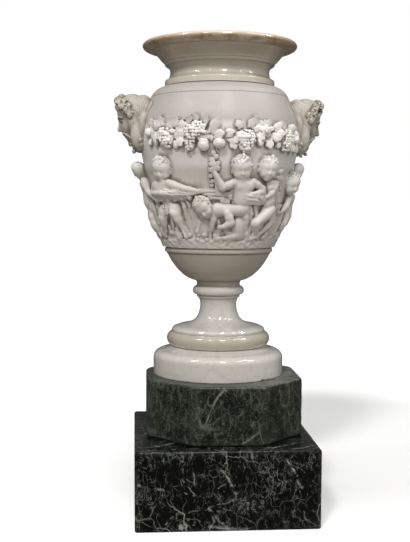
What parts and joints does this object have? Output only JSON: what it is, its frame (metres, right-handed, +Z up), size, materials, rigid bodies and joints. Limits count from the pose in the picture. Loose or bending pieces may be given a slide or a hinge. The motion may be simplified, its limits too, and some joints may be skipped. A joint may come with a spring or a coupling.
{
  "type": "marble urn",
  "caption": "Hollow carved marble urn with a flared neck, side mask heads and a turned foot, standing on an octagonal block over a square block of green marble.",
  "frame": {"origin": "centre of the bounding box's underside, on the floor under the plinth", "axes": "+Z up along the urn's axis; the front faces -Y; the masks lie on the X axis direction; +X is the viewer's right"},
  "size_m": [0.5502, 0.4762, 1.21],
  "materials": {
    "white_marble": "polished white marble",
    "carved_marble": "satin white marble with dirt in the hollows",
    "stained_marble": "polished marble with a cream patina",
    "green_marble": "polished mottled dark green marble",
    "dark_marble": "polished near-black green marble with pale veins",
    "iron": "black forged iron",
    "brass": "turned brass",
    "bedding": "lime putty"
  },
  "bodies": {
    "lower_block": {"lower_plinth": "dark_marble", "plinth_dowel_left": "iron", "plinth_dowel_right": "iron"},
    "upper_block": {"upper_plinth": "green_marble", "urn_dowel_left": "iron", "urn_dowel_right": "iron"},
    "urn": {"foot_plate": "white_marble", "foot_bedding": "bedding", "stem": "white_marble", "stem_bedding": "bedding", "bowl": "carved_marble", "neck_bedding": "bedding", "neck_rim": "stained_marble", "mask_left": "carved_marble", "mask_right": "carved_marble", "mask_pin_left_lower": "brass", "mask_pin_left_upper": "brass", "mask_pin_right_lower": "brass", "mask_pin_right_upper": "brass", "tie_rod": "iron", "washer_bottom": "iron", "washer_top": "iron", "nut_bottom": "iron", "nut_top": "iron"}
  },
  "joints": [
    {"name": "plinth_lift", "type": "slide", "parent": "lower_block", "child": "upper_block", "axis": [0, 0, 1], "range_m": [0, 0.05]},
    {"name": "urn_lift", "type": "slide", "parent": "upper_block", "child": "urn", "axis": [0, 0, 1], "range_m": [0, 0.06]}
  ]
}
